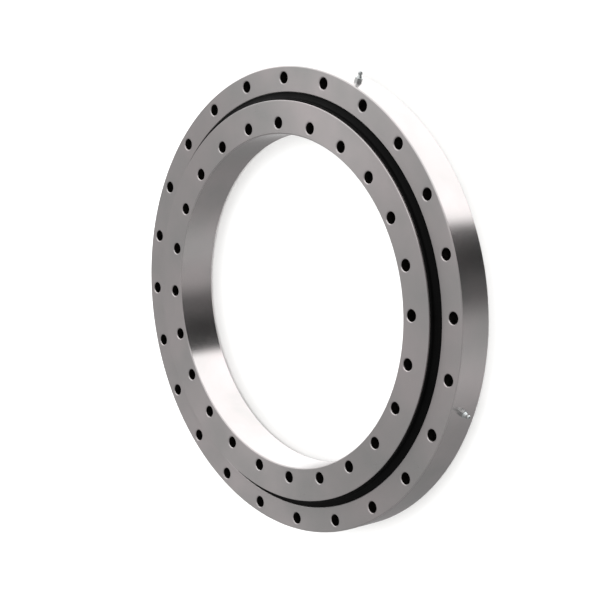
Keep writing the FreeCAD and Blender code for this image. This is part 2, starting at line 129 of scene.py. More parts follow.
# %% [markdown]
# ## The camera
#
# The ring is seen from above its proud side, 49 degrees off its axis and two and a half metres
# away, which is far enough to keep the circle's perspective gentle. The camera is rolled until the
# ring seems to stand on its rim. A long lens fills the frame without moving closer.

# %% Set up the camera
camera_place = Vector((1.0022, -1.6395, 1.7122))
camera_up = Vector((0.8975, 0.4320, -0.0880))
look_at = Vector((0.0, 0.0, 0.035))

forward = (look_at - camera_place).normalized()
right = forward.cross(camera_up).normalized()
turn = Matrix((right, right.cross(forward), -forward)).transposed()
camera = bpy.data.objects.new("camera", bpy.data.cameras.new("camera"))
camera.data.sensor_width = 36
camera.data.lens = 97
camera.matrix_world = Matrix.Translation(camera_place) @ turn.to_4x4()
bpy.context.scene.collection.objects.link(camera)
bpy.context.scene.camera = camera
print("camera distance in m:", round((look_at - camera_place).length, 3))

# %% [markdown]
# ## Adding nodes
#
# Materials, the backdrop and the geometry trees are all node trees. One small function adds a node:
# its settings are keywords, and its inputs are a table of values, or of the nodes and sockets that
# they are linked from. Colours are written as on a colour card and turned to linear light once.


# %% The node and colour helpers
def add(tree, kind, inputs=None, **settings):
    """Adds a node. An input is a value, a socket, or a node whose first live output is meant."""
    made = tree.nodes.new(kind)
    for name, value in settings.items():
        setattr(made, name, value)
    for key, value in (inputs or {}).items():
        if isinstance(value, bpy.types.Node):
            value = next(output for output in value.outputs if output.enabled)
        if isinstance(value, bpy.types.NodeSocket):
            tree.links.new(value, made.inputs[key])
        else:
            made.inputs[key].default_value = value
    return made


def linear(hex_colour):
    """An sRGB colour such as "#c0c0bf" as the linear values that a shader works in."""
    channels = [int(hex_colour[start : start + 2], 16) / 255 for start in (1, 3, 5)]
    return [c / 12.92 if c <= 0.04045 else ((c + 0.055) / 1.055) ** 2.4 for c in channels] + [1.0]


print("mid grey is", [round(value, 3) for value in linear("#969696")[:3]])

# %% [markdown]
# ## The studio
#
# Bare metal has no colour of its own to show. What the eye reads as metal is the room it mirrors,
# so the room is the most important part of the picture. The ring lies flat and the camera looks
# down on it, so its upright walls mirror what is low and around it, and its flat faces mirror what
# is high up behind it.
#
# A ramp round the compass gives the low part: a wide white wall on one side, a narrow dark gap
# beside it and a grey wall beyond. Higher up the white wall goes on, because broken edges mirror
# it as thin bright lines, and the rest is an even grey up to a pale ceiling. The floor doesn't show
# in the metal, so this room is seen right through it. Everything that isn't metal is lit by plain
# white from all sides.

# %% The room that the metal mirrors
world = bpy.data.worlds.new("studio_room")
bpy.context.scene.world = world
world.use_nodes = True
room = world.node_tree
room.nodes.clear()
direction = add(room, "ShaderNodeTexCoord").outputs["Generated"]
axes = add(room, "ShaderNodeSeparateXYZ", {"Vector": direction})
inputs = {0: axes.outputs["Y"], 1: axes.outputs["X"]}
bearing = add(room, "ShaderNodeMath", inputs, operation="ARCTAN2")
inputs = {"Value": bearing, "From Min": -math.pi, "From Max": math.pi}
around = add(room, "ShaderNodeMapRange", inputs)


def walls_round_the_room(levels):
    """Grey levels by compass direction in degrees from +X, blended into each other."""
    walls = add(room, "ShaderNodeValToRGB", {"Fac": around})
    walls.color_ramp.interpolation = "EASE"
    stops = walls.color_ramp.elements
    while len(stops) < len(levels):
        stops.new(0.5)
    for stop, (degrees, level) in zip(stops, levels):
        stop.position = (degrees + 180) / 360
        stop.color = (level, level, level, 1)
    return walls


low_walls = walls_round_the_room(
    [(-180, 0.32), (-140, 0.36), (-105, 0.60), (-84, 0.48), (-66, 0.14), (-48, 0.05), (-34, 0.10)]
    + [(-28, 1.90), (90, 1.90), (118, 0.80), (150, 0.32), (180, 0.32)]
)
high_walls = walls_round_the_room(
    [(-180, 0.38), (-60, 0.38), (-40, 0.50), (-28, 1.45), (84, 1.45), (102, 0.62), (116, 0.44)]
    + [(180, 0.38)]
)
how_low, how_high = [
    add(
        room,
        "ShaderNodeMapRange",
        {"Value": axes.outputs["Z"], "From Min": start, "From Max": end},
        interpolation_type="SMOOTHSTEP",
    )
    for start, end in ((0.05, -0.25), (0.74, 0.92))
]
inputs = {"Factor": how_low, 6: high_walls, 7: low_walls}
walls = add(room, "ShaderNodeMix", inputs, data_type="RGBA")
inputs = {"Factor": how_high, 6: walls, 7: linear("#cfcfcf")}
mirrored = add(room, "ShaderNodeMix", inputs, data_type="RGBA")
by_metal = add(room, "ShaderNodeLightPath").outputs["Is Glossy Ray"]
inputs = {"Factor": by_metal, 6: (1.4, 1.4, 1.4, 1), 7: mirrored}
seen = add(room, "ShaderNodeMix", inputs, data_type="RGBA")
background = add(room, "ShaderNodeBackground", {"Color": seen, "Strength": 1.0})
add(room, "ShaderNodeOutputWorld", {"Surface": background})
bpy.context.scene.view_settings.view_transform = "Standard"
print("room nodes:", len(room.nodes))

# %% [markdown]
# ## Floor and lights
#
# The floor is plain and nearly white. Two large area lights, one high behind the ring and one to
# the side, put soft gradients on the rubber and lay a faint shadow under the rings, so that they
# rest on the floor rather than float. The metal doesn't mirror the lights, only the room.


# %% Floor and lights
def area_light(name, place, side, power):
    """A square soft light that faces the ring's centre."""
    data = bpy.data.lights.new(name, "AREA")
    data.size = side
    data.energy = power
    light = bpy.data.objects.new(name, data)
    light.location = place
    light.rotation_mode = "QUATERNION"
    light.rotation_quaternion = (look_at - light.location).to_track_quat("-Z", "Y")
    light.visible_glossy = False
    bpy.context.scene.collection.objects.link(light)


floor_mesh = bpy.data.meshes.new("floor")
half_floor = 40
corners = [(x * half_floor, y * half_floor, 0) for x, y in ((-1, -1), (1, -1), (1, 1), (-1, 1))]
floor_mesh.from_pydata(corners, [], [(0, 1, 2, 3)])
floor = bpy.data.objects.new("floor", floor_mesh)
floor.visible_glossy = False
bpy.context.scene.collection.objects.link(floor)
paper = bpy.data.materials.new("white_seamless_paper")
paper.use_nodes = True
sheet = paper.node_tree.nodes["Principled BSDF"]
sheet.inputs["Base Color"].default_value = linear("#f7f7f6")
sheet.inputs["Roughness"].default_value = 0.9
sheet.inputs["Specular IOR Level"].default_value = 0.1
floor_mesh.materials.append(paper)
area_light("high_light", Vector((-0.8, 1.2, 2.6)), 2.2, 25)
area_light("side_light", Vector((2.4, -0.4, 1.8)), 1.8, 15)
print("floor:", 2 * half_floor, "m wide")

# %% [markdown]
# ## Finishes
#
# Each finish reads Object coordinates, which on these pieces are simply metres from the ring's
# axis. A piece turned on a lathe has one property that all its surfaces share: the tool leaves
# circles round the axis. Distance from the axis plus height changes from one circle to the next on
# flat faces, walls and chamfers alike, so a one-dimensional noise of that sum draws the tool marks
# everywhere at once.


# %% What the finishes share
def new_finish(name):
    """An empty material and its tree."""
    finish = bpy.data.materials.new(name)
    finish.use_nodes = True
    finish.node_tree.nodes.clear()
    return finish, finish.node_tree


def shade(tree, inputs):
    """Ends a finish in one shader with these inputs."""
    shader = add(tree, "ShaderNodeBsdfPrincipled", inputs)
    add(tree, "ShaderNodeOutputMaterial", {"Surface": shader})


def tool_marks(tree, pitch_mm):
    """Noise across the circles that a lathe tool, or an extrusion die, leaves round the Z axis."""
    place = add(tree, "ShaderNodeTexCoord").outputs["Object"]
    parts = add(tree, "ShaderNodeSeparateXYZ", {"Vector": place})
    flat = add(tree, "ShaderNodeCombineXYZ", {"X": parts.outputs["X"], "Y": parts.outputs["Y"]})
    from_axis = add(tree, "ShaderNodeVectorMath", {0: flat}, operation="LENGTH")
    across = add(tree, "ShaderNodeMath", {0: from_axis, 1: parts.outputs["Z"]}, operation="ADD")
    inputs = {"W": across, "Scale": 1 / (pitch_mm * MM), "Detail": 3.0, "Roughness": 0.7}
    return add(tree, "ShaderNodeTexNoise", inputs, noise_dimensions="1D")


# A noise mostly stays between these values, so a range node stretches them over what is wanted.
NOISE = {"From Min": 0.3, "From Max": 0.7}
print("a noise is stretched from", NOISE["From Min"], "to", NOISE["From Max"])

# %% [markdown]
# ### Bearing steel, turned
#
# The rings are forged from 42CrMo4 or 50Mn steel and finished on a vertical lathe. The feed marks
# are only about 0.2 mm apart, too fine to show at this distance, so they are drawn at 1.6 mm and
# kept very shallow. Handling and preserving oil leave soft clouds that change the gloss more than
# the colour.
#
# Marks that all run round the axis spread every highlight across them. The shader's anisotropy
# does that: its tangent runs along the marks, and a quarter turn spreads the light across them. On
# the flat faces this draws the bright and dark fans that every turned disc shows, and on the walls
# it keeps the room's edges crisp sideways and soft up and down.

# %% Turned bearing steel
def turned_steel(name, marks_mm, glosses):
    """Turned steel with feed marks of some pitch, and the gloss of its oiliest and driest parts."""
    finish, tree = new_finish(name)
    place = add(tree, "ShaderNodeTexCoord").outputs["Object"]
    marks = tool_marks(tree, marks_mm)
    oil = add(tree, "ShaderNodeTexNoise", {"Vector": place, "Scale": 1 / (90 * MM), "Detail": 3.0})
    inputs = {"Vector": place, "Scale": 1 / (6 * MM), "Detail": 4.0, "Roughness": 0.65}
    specks = add(tree, "ShaderNodeTexNoise", inputs)
    oiliness = add(tree, "ShaderNodeMapRange", {"Value": oil, **NOISE})
    inputs = {"Factor": oiliness, 6: linear("#bbb9b8"), 7: linear("#cac3c3")}
    tint = add(tree, "ShaderNodeMix", inputs, data_type="RGBA")
    inputs = {"Value": oil, **NOISE, "To Min": glosses[0], "To Max": glosses[1]}
    cloudy = add(tree, "ShaderNodeMapRange", inputs)
    inputs = {"Value": marks, **NOISE, "To Min": -0.03, "To Max": 0.04}
    lined = add(tree, "ShaderNodeMapRange", inputs)
    inputs = {"Value": specks, **NOISE, "To Min": -0.01, "To Max": 0.015}
    speckled = add(tree, "ShaderNodeMapRange", inputs)
    gloss = add(tree, "ShaderNodeMath", {0: cloudy, 1: lined}, operation="ADD")
    gloss = add(tree, "ShaderNodeMath", {0: gloss, 1: speckled}, operation="ADD")
    parts = add(tree, "ShaderNodeSeparateXYZ", {"Vector": place})
    back = add(tree, "ShaderNodeMath", {0: parts.outputs["Y"], 1: -1.0}, operation="MULTIPLY")
    along = add(tree, "ShaderNodeCombineXYZ", {"X": back, "Y": parts.outputs["X"]})
    shade(
        tree,
        {
            "Base Color": tint,
            "Metallic": 1.0,
            "Roughness": gloss,
            "Anisotropic": 0.9,
            "Anisotropic Rotation": 0.25,
            "Normal": add(tree, "ShaderNodeBump", {"Height": marks, "Distance": 0.006 * MM}),
            "Tangent": add(tree, "ShaderNodeVectorMath", {0: along}, operation="NORMALIZE"),
        },
    )
    return finish


# A facing cut slows down towards the axis and tears a little, so the faces are duller than walls.
face_steel = turned_steel("face_turned_bearing_steel", 1.6, (0.30, 0.36))
wall_steel = turned_steel("finish_turned_bearing_steel", 1.2, (0.17, 0.21))
print("made", face_steel.name, "and", wall_steel.name)

# %% [markdown]
# ### Bearing steel, drilled, painted dark
#
# The bolt holes are drilled and not finished further. Their walls carry coarse feed marks, and
# their
# colour is painted dark: a painted shade that stands in for the shadow inside the holes, so they
# look much darker than the turned faces around them. The marks run round each hole, one above the
# other, so their noise follows the height alone.

# %% Drilled steel, with painted shade
painted_shade_hole_steel, tree = new_finish("drilled_oily_steel")
place = add(tree, "ShaderNodeTexCoord").outputs["Object"]
height = add(tree, "ShaderNodeSeparateXYZ", {"Vector": place}).outputs["Z"]
inputs = {"W": height, "Scale": 1 / (1.2 * MM), "Detail": 2.0}
feed = add(tree, "ShaderNodeTexNoise", inputs, noise_dimensions="1D")
painted_shade_noise = add(tree, "ShaderNodeTexNoise", {"Vector": place, "Scale": 1 / (7 * MM), "Detail": 3.0})
painted_shade_blend = add(tree, "ShaderNodeMapRange", {"Value": painted_shade_noise, **NOISE})
# Both tones are dark: painted shade for the inside of the holes, varied at random by the noise.
inputs = {"Factor": painted_shade_blend, 6: linear("#1c1a18"), 7: linear("#383532")}
tint = add(tree, "ShaderNodeMix", inputs, data_type="RGBA")
gloss = add(tree, "ShaderNodeMapRange", {"Value": feed, **NOISE, "To Min": 0.28, "To Max": 0.40})
relief = add(tree, "ShaderNodeBump", {"Height": feed, "Distance": 0.05 * MM})
inputs = {"Base Color": tint, "Metallic": 0.85, "Roughness": gloss, "Normal": relief}
shade(tree, {**inputs, "Specular IOR Level": 0.2})
print("made", painted_shade_hole_steel.name)

# %% [markdown]
# ### Nitrile rubber, extruded
#
# Seal strip is black nitrile rubber. It comes out of a die, so it has faint lines along its length,
# and its skin is dull with a little dust and grease on it.

# %% Seal rubber
seal_rubber, tree = new_finish("extruded_nitrile_rubber")
place = add(tree, "ShaderNodeTexCoord").outputs["Object"]
lines = tool_marks(tree, 0.9)
dust = add(tree, "ShaderNodeTexNoise", {"Vector": place, "Scale": 1 / (25 * MM), "Detail": 4.0})
skin = add(tree, "ShaderNodeTexNoise", {"Vector": place, "Scale": 1 / (1.2 * MM)})
dusty = add(tree, "ShaderNodeMapRange", {"Value": dust, **NOISE})
inputs = {"Factor": dusty, 6: linear("#010101"), 7: linear("#040404")}
tint = add(tree, "ShaderNodeMix", inputs, data_type="RGBA")
dull = add(tree, "ShaderNodeMapRange", {"Value": dust, **NOISE, "To Min": 0.48, "To Max": 0.62})
grain = add(tree, "ShaderNodeMath", {0: skin, 1: 0.4}, operation="MULTIPLY")
height = add(tree, "ShaderNodeMath", {0: lines, 1: grain}, operation="ADD")
relief = add(tree, "ShaderNodeBump", {"Height": height, "Distance": 0.03 * MM})
shade(tree, {"Base Color": tint, "Roughness": dull, "Specular IOR Level": 0.08, "Normal": relief})
print("made", seal_rubber.name)

# %% [markdown]
# ### The small parts
#
# Bearing balls are lapped to a mirror. The load plug and its pin are ground steel. Grease nipples
# are zinc plated, a bright bluish grey with a fine crystal. Their springs are drawn wire. These
# bare metals differ in tone, in gloss and in the size of their grain.
#
# The spacers between the balls are natural polyamide, moulded: cream, slightly waxy, and light goes
# a little way into it. Its clouds and grain are made like those of the metals.


# %% Small-part finishes
def clouded(name, tones, glosses, cloud_mm, grain_mm, grain_depth_mm, detail=3.0, **others):
    """Clouds of tone and gloss of one size, over a fine grain. An underscore is a space."""
    finish, tree = new_finish(name)
    place = add(tree, "ShaderNodeTexCoord").outputs["Object"]
    inputs = {"Vector": place, "Scale": 1 / (cloud_mm * MM), "Detail": 3.0}
    clouds = add(tree, "ShaderNodeTexNoise", inputs)
    inputs = {"Vector": place, "Scale": 1 / (grain_mm * MM), "Detail": detail}
    grain = add(tree, "ShaderNodeTexNoise", inputs)
    cloudy = add(tree, "ShaderNodeMapRange", {"Value": clouds, **NOISE})
    inputs = {"Factor": cloudy, 6: linear(tones[0]), 7: linear(tones[1])}
    tint = add(tree, "ShaderNodeMix", inputs, data_type="RGBA")
    inputs = {"Value": clouds, **NOISE, "To Min": glosses[0], "To Max": glosses[1]}
    gloss = add(tree, "ShaderNodeMapRange", inputs)
    relief = add(tree, "ShaderNodeBump", {"Height": grain, "Distance": grain_depth_mm * MM})
    inputs = {name.replace("_", " "): value for name, value in others.items()}
    shade(tree, {"Base Color": tint, "Roughness": gloss, "Normal": relief, **inputs})
    return finish


ball_steel, plug_steel, pin_steel, nipple_zinc, wire_steel = [
    clouded(name, tones, glosses, cloud_mm, 0.8, grain_depth_mm, Metallic=1.0)
    for name, tones, glosses, cloud_mm, grain_depth_mm in (
        ("lapped_ball_steel", ("#c9c9ca", "#d2d2d3"), (0.05, 0.09), 8, 0.0005),
        ("ground_plug_steel", ("#a9a8a7", "#b8b7b5"), (0.28, 0.36), 6, 0.01),
        ("ground_pin_steel", ("#a3a2a1", "#b2b1b0"), (0.22, 0.32), 4, 0.01),
        ("zinc_plated_steel", ("#b3b7b8", "#cccfce"), (0.20, 0.32), 2.5, 0.008),
        ("drawn_spring_wire", ("#8e8e90", "#a2a2a4"), (0.25, 0.35), 1.5, 0.004),
    )
]
spacer_nylon = clouded(
    "moulded_natural_nylon",
    ("#ddd6c2", "#e9e4d4"),
    (0.38, 0.50),
    9,
    0.7,
    0.01,
    detail=2.0,
    Subsurface_Weight=0.1,
    Subsurface_Scale=0.002,
)
print("finishes:", sorted(finish.name for finish in bpy.data.materials))

# %% [markdown]
# ## A lathe made of geometry nodes
#
# Nearly every piece here is turned, so the first tree is a lathe. Its input is half a section,
# drawn as a chain of points. The tree lays out a grid with one column for each step round the axis
# and one row for each point, reads the row's point, and turns it by the column's angle.
# Last it merges the seam, and the poles where a section touches the axis. A Screw modifier could do
# the same, but the tree can be nested in other trees, which the rings need.


# %% Tree helpers
def new_tree(name, inputs):
    """A geometry tree with a geometry input and output and the given (socket type, name) inputs."""
    tree = bpy.data.node_groups.new(name, "GeometryNodeTree")
    tree.interface.new_socket("Geometry", in_out="OUTPUT", socket_type="NodeSocketGeometry")
    tree.interface.new_socket("Geometry", in_out="INPUT", socket_type="NodeSocketGeometry")
    for kind, label in inputs:
        tree.interface.new_socket(label, in_out="INPUT", socket_type=f"NodeSocket{kind}")
    return tree, add(tree, "NodeGroupInput").outputs


def finish_tree(tree, geometry, material):
    """Real geometry and a material at the end, because instances are lost on export."""
    real = add(tree, "GeometryNodeRealizeInstances", {"Geometry": geometry})
    painted = add(tree, "GeometryNodeSetMaterial", {"Geometry": real, "Material": material})
    add(tree, "NodeGroupOutput", {"Geometry": painted})
    return tree


MERGE = 0.002 * MM


def lathe_tree():
    tree, given = new_tree("lathe", [("Int", "Steps"), ("Material", "Material")])
    inputs = {"Geometry": given["Geometry"]}
    chain = add(tree, "GeometryNodeAttributeDomainSize", inputs, component="MESH")
    rows = chain.outputs["Point Count"]
    columns = add(tree, "ShaderNodeMath", {0: given["Steps"], 1: 1.0}, operation="ADD")
    grid = add(tree, "GeometryNodeMeshGrid", {"Vertices X": columns, "Vertices Y": rows})
    index = add(tree, "GeometryNodeInputIndex").outputs["Index"]
    column = add(tree, "ShaderNodeMath", {0: index, 1: rows}, operation="DIVIDE")
    column = add(tree, "ShaderNodeMath", {0: column}, operation="FLOOR")
    before = add(tree, "ShaderNodeMath", {0: column, 1: rows}, operation="MULTIPLY")
    row = add(tree, "ShaderNodeMath", {0: index, 1: before}, operation="SUBTRACT")
    place = add(tree, "GeometryNodeInputPosition")
    inputs = {"Geometry": given["Geometry"], "Value": place, "Index": row}
    point = add(tree, "GeometryNodeSampleIndex", inputs, data_type="FLOAT_VECTOR")
    step = add(tree, "ShaderNodeMath", {0: math.tau, 1: given["Steps"]}, operation="DIVIDE")
    angle = add(tree, "ShaderNodeMath", {0: column, 1: step}, operation="MULTIPLY")
    inputs = {"Vector": point, "Angle": angle}
    turned = add(tree, "ShaderNodeVectorRotate", inputs, rotation_type="Z_AXIS")
    moved = add(tree, "GeometryNodeSetPosition", {"Geometry": grid, "Position": turned})
    closed = add(tree, "GeometryNodeMergeByDistance", {"Geometry": moved, "Distance": MERGE})
    return finish_tree(tree, closed, given["Material"])


lathe = lathe_tree()
print("lathe nodes:", len(lathe.nodes))

# %% [markdown]
# A modifier's inputs are set by the socket's identifier. The helpers below do that, turn a finished
# tree's result into a plain mesh without empty material slots, and mark as sharp only the edges
# between faces that meet at more than 28 degrees. Smooth shading would still bend the light on a
# flat face near its rounded edge. The Weighted Normal modifier cures that, because it lets the
# largest face at a corner decide.


# %% Object helpers
def new_object(name, points, edges=(), faces=()):
    mesh = bpy.data.meshes.new(name)
    mesh.from_pydata(points, edges, faces)
    made = bpy.data.objects.new(name, mesh)
    bpy.context.scene.collection.objects.link(made)
    return made


def add_tree(target, tree, **values):
    """Adds a geometry tree as a modifier and sets its inputs; an underscore stands for a space."""
    modifier = target.modifiers.new(tree.name, "NODES")
    modifier.node_group = tree
    for item in tree.interface.items_tree:
        key = item.name.replace(" ", "_").lower()
        if item.in_out == "INPUT" and key in values:
            modifier[item.identifier] = values[key]


def apply_modifiers(target):
    """Replaces a piece's mesh by what its modifiers make of it."""
    depsgraph = bpy.context.evaluated_depsgraph_get()
    mesh = bpy.data.meshes.new_from_object(target.evaluated_get(depsgraph), depsgraph=depsgraph)
    target.modifiers.clear()
    target.data = mesh
    mesh.name = target.name
    for slot in reversed(range(len(mesh.materials))):
        if mesh.materials[slot] is None:
            mesh.materials.pop(index=slot)
    return mesh


def make_plain(target):
    """Applies the tree, then shades smooth: flat faces stay flat up to their rounded edges."""
    mesh = apply_modifiers(target)
    mesh.polygons.foreach_set("use_smooth", [True] * len(mesh.polygons))
    mesh.set_sharp_from_angle(angle=math.radians(28))
    flat = target.modifiers.new("weighted_normals", "WEIGHTED_NORMAL")
    flat.weight = 100
    flat.keep_sharp = True
    mesh = apply_modifiers(target)
    print(f"{target.name}: {len(mesh.polygons)} faces")
    return target


def discard(*helpers):
    for helper in helpers:
        bpy.data.objects.remove(helper)


def place_piece(piece, body, slot, *nodes):
    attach(piece, body)
    if nodes:
        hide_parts(*nodes)


print("ready to make objects")

# %% [markdown]
# ## Drawing sections
#
# A section is a list of (radius, height) corners that runs anticlockwise round the material, which
# makes the lathe's faces look outwards. Real machined corners are never knife edges, so a helper
# swaps each inner corner of the chain for a short arc. Those arcs catch the thin bright lines that
# outline the ring.


# %% Section helpers
def arc(centre, radius, start, end, steps):
    """Points on a circle in the section plane, angles in degrees."""
    angles = [math.radians(start + (end - start) * step / steps) for step in range(steps + 1)]
    return [(centre[0] + radius * math.cos(a), centre[1] + radius * math.sin(a)) for a in angles]


def rounded_chain(corners, radius, steps=2):
    """The chain with its corners rounded. Its two ends stay where they are."""
    points = [Vector(corner) for corner in corners]
    chain = [points[0]]
    for before, corner, after in zip(points, points[1:], points[2:]):
        back, ahead = before - corner, after - corner
        reach = min(radius, back.length * 0.4, ahead.length * 0.4)
        start = corner + back.normalized() * reach
        end = corner + ahead.normalized() * reach
        for step in range(steps + 1):
            share = step / steps
            first = start.lerp(corner, share)
            chain.append(first.lerp(corner.lerp(end, share), share))
    return [tuple(point) for point in chain + [points[-1]]]


def section_object(name, chain):
    """The chain as an object of points and edges, radius along X and height along Z."""
    points = [(radius, 0.0, height) for radius, height in chain]
    return new_object(name, points, [(n, n + 1) for n in range(len(points) - 1)])


def raceway(side):
    """A wall's half groove: outside, side 1, from the top down; inside, -1, from the bottom up."""
    steps = 10
    land = outer_land if side == 1 else inner_land
    centre_x = ball_circle_radius - groove_set_back * side
    start = math.degrees(math.acos(abs(land - centre_x) / groove_radius))
    middle = math.degrees(math.asin(groove_set_back / groove_radius))
    upper = arc((centre_x, ball_height - groove_set_back), groove_radius, start, middle, steps)
    lower = arc((centre_x, ball_height + groove_set_back), groove_radius, -middle, -start, steps)
    if side == 1:
        return upper + lower[1:]
    return [(2 * centre_x - x, z) for x, z in reversed(upper + lower[1:])]


print("raceway points:", len(raceway(1)))

# %% [markdown]
# ## The rings
#
# A ring is two turned walls and, between them, flat faces with a circle of bolt holes. The walls
# come from the lathe. The faces are one sector with one hole, repeated round the axis: its quads
# run from the sector's straight edges to the hole in a few loops, then down the chamfer and the
# bore to the face below. Everything meets point to point, so merging closes the ring without a
# boolean, and the round edge of every hole stays clean.

# %% One sector with its bolt hole
SECTOR_STEPS = 20
RADIAL_STEPS = 12
RING_STEPS = SECTOR_STEPS * bolt_count


def looped_object(name, loops, closed_tube=False):
    """Quads between loops of equally many points, and from the last to the first if it's closed."""
    size = len(loops[0])
    faces = []
    for number in range(len(loops) - (0 if closed_tube else 1)):
        first, second = number * size, (number + 1) % len(loops) * size
        for here in range(size):
            after = (here + 1) % size
            faces.append((first + here, first + after, second + after, second + here))
    return new_object(name, [point for loop in loops for point in loop], faces=faces)


def sector_border(inside, outside):
    """The points round a sector from angle 0 to one bolt pitch, anticlockwise, in the plane."""
    angles = [bolt_pitch * step / SECTOR_STEPS for step in range(SECTOR_STEPS)]
    radii = [inside + (outside - inside) * step / RADIAL_STEPS for step in range(RADIAL_STEPS)]
    border = [(radius, 0.0) for radius in radii]
    border += [(outside, angle) for angle in angles]
    border += [(outside + inside - radius, bolt_pitch) for radius in radii]
    border += [(inside, bolt_pitch - angle) for angle in angles]
    return [Vector((r * math.cos(a), r * math.sin(a))) for r, a in border]


def bolt_sector(name, inside, outside, bottom, top, circle_radius):
    """One sector of both flat faces with the hole that joins them, as loops of points."""
    border = sector_border(inside, outside)
    centre = Vector((math.cos(bolt_pitch / 2), math.sin(bolt_pitch / 2))) * circle_radius
    side = border[RADIAL_STEPS // 2] - centre
    start = math.atan2(side.y, side.x) - math.tau * (RADIAL_STEPS // 2) / len(border)
    turns = [start + math.tau * number / len(border) for number in range(len(border))]
    ways = [Vector((math.cos(angle), math.sin(angle))) for angle in turns]
    mouth = bolt_hole_radius + hole_chamfer
    lead_in = mouth + 1 * MM
    shares = (1.0, 0.6, 0.3, 0.12)  # of the way from the hole to the border

    def face_loops(height):
        rims = [centre + way * mouth for way in ways]
        return [
            [(*rim.lerp(edge, share), height) for rim, edge in zip(rims, border)]
            for share in shares
        ]

    def round_loop(radius, height):
        return [(*(centre + way * radius), height) for way in ways]

    bore_chain = rounded_chain(
        [
            (lead_in, top),
            (mouth, top),
            (bolt_hole_radius, top - hole_chamfer),
            (bolt_hole_radius, (top + bottom) / 2),
            (bolt_hole_radius, bottom + hole_chamfer),
            (mouth, bottom),
            (lead_in, bottom),
        ],
        edge_round,
        1,
    )
    loops = face_loops(top) + [round_loop(r, z) for r, z in bore_chain[1:-1]]
    loops += list(reversed(face_loops(bottom)))
    return looped_object(name, loops)


print("steps round a ring:", RING_STEPS)

# %% [markdown]
# The ring tree joins two lathe groups and the repeated sector. Each sector is placed by turning
# alone, because it was drawn in its place beside the X axis. Side bores, balls and nipples will be
# repeated in the same way, so the turning is a helper.


# %% The ring tree
def around_the_axis(tree, geometry, count, first_angle):
    """Instances of some geometry, turned round the Z axis in equal steps from a first angle."""
    index = add(tree, "GeometryNodeInputIndex")
    pitch = add(tree, "ShaderNodeMath", {0: math.tau, 1: count}, operation="DIVIDE")
    inputs = {0: index, 1: pitch, 2: first_angle}
    angle = add(tree, "ShaderNodeMath", inputs, operation="MULTIPLY_ADD")
    inputs = {
        "Points": add(tree, "GeometryNodePoints", {"Count": count}),
        "Instance": geometry,
        "Rotation": add(tree, "ShaderNodeCombineXYZ", {"Z": angle}),
    }
    return add(tree, "GeometryNodeInstanceOnPoints", inputs)


def bolted_ring_tree():
    inputs = [("Object", "Other wall"), ("Object", "Sector"), ("Int", "Bolt count")]
    tree, given = new_tree("bolted_ring", inputs + [("Int", "Steps"), ("Material", "Material")])
    other = add(tree, "GeometryNodeObjectInfo", {"Object": given["Other wall"]})
    sector = add(tree, "GeometryNodeObjectInfo", {"Object": given["Sector"]})
    inputs = {"Steps": given["Steps"], "Material": given["Material"]}
    walls = [
        add(tree, "GeometryNodeGroup", {"Geometry": chain, **inputs}, node_tree=lathe)
        for chain in (given["Geometry"], other.outputs["Geometry"])
    ]
    sectors = around_the_axis(tree, sector.outputs["Geometry"], given["Bolt count"], 0.0)
    real = add(tree, "GeometryNodeRealizeInstances", {"Geometry": sectors})
    together = add(tree, "GeometryNodeJoinGeometry")
    for part in (*walls, real):
        tree.links.new(part.outputs[0], together.inputs["Geometry"])
    closed = add(tree, "GeometryNodeMergeByDistance", {"Geometry": together, "Distance": MERGE})
    return finish_tree(tree, closed, given["Material"])


bolted_ring = bolted_ring_tree()
print("ring nodes:", len(bolted_ring.nodes))

# %% [markdown]
# The outer ring has more bores: a large hole in its rim that the balls went in through, four
# threaded holes with grease ducts behind them, and a hole from below for the pin. This tree cuts
# any number of equal bores, evenly spaced, lying or upright, out of a closed piece. The exact
# solver keeps the piece closed where a drill runs along one of its edges.


# %% The bore tree
def bore_tree():
    inputs = [("Int", "Count"), ("Material", "Material")]
    sizes = ("First angle", "Tilt", "Radius", "Depth", "From axis", "Height")
    tree, given = new_tree("bores", inputs + [("Float", size) for size in sizes])
    inputs = {"Vertices": 48, "Radius": given["Radius"], "Depth": given["Depth"]}
    drill = add(tree, "GeometryNodeMeshCylinder", inputs)
    place = add(tree, "ShaderNodeCombineXYZ", {"X": given["From axis"], "Z": given["Height"]})
    tilt = add(tree, "ShaderNodeCombineXYZ", {"Y": given["Tilt"]})
    inputs = {"Geometry": drill.outputs["Mesh"], "Translation": place, "Rotation": tilt}
    laid = add(tree, "GeometryNodeTransform", inputs)
    drills = around_the_axis(tree, laid, given["Count"], given["First angle"])
    real = add(tree, "GeometryNodeRealizeInstances", {"Geometry": drills})
    inputs = {"Mesh 1": given["Geometry"], "Mesh 2": real}
    cut = add(tree, "GeometryNodeMeshBoolean", inputs, operation="DIFFERENCE", solver="EXACT")
    return finish_tree(tree, cut, given["Material"])


bores = bore_tree()
print("bore nodes:", len(bores.nodes))

# %% [markdown]
# Both rings are put together in the same way: two walls, one sector, and after the tree has run,
# the finishes. The lathe and the sector give every face the duller finish of a facing cut. Upright
# walls get the finer one, and the walls of the bolt holes, below their chamfers, the drilled one,
# whose dark colour is painted shade.


# %% Ring helpers
def ring_piece(name, outer_chain, inner_chain, band, heights, circle_radius):
    """The ring tree over two walls and a sector, whose helpers are returned to be discarded."""
    piece = section_object(name, outer_chain)
    other = section_object(f"{name}_other_wall", inner_chain)
    sector = bolt_sector(f"{name}_sector", *band, *heights, circle_radius)
    add_tree(
        piece,
        bolted_ring,
        other_wall=other,
        sector=sector,
        bolt_count=bolt_count,
        steps=RING_STEPS,
        material=face_steel,
    )
    return piece, other, sector


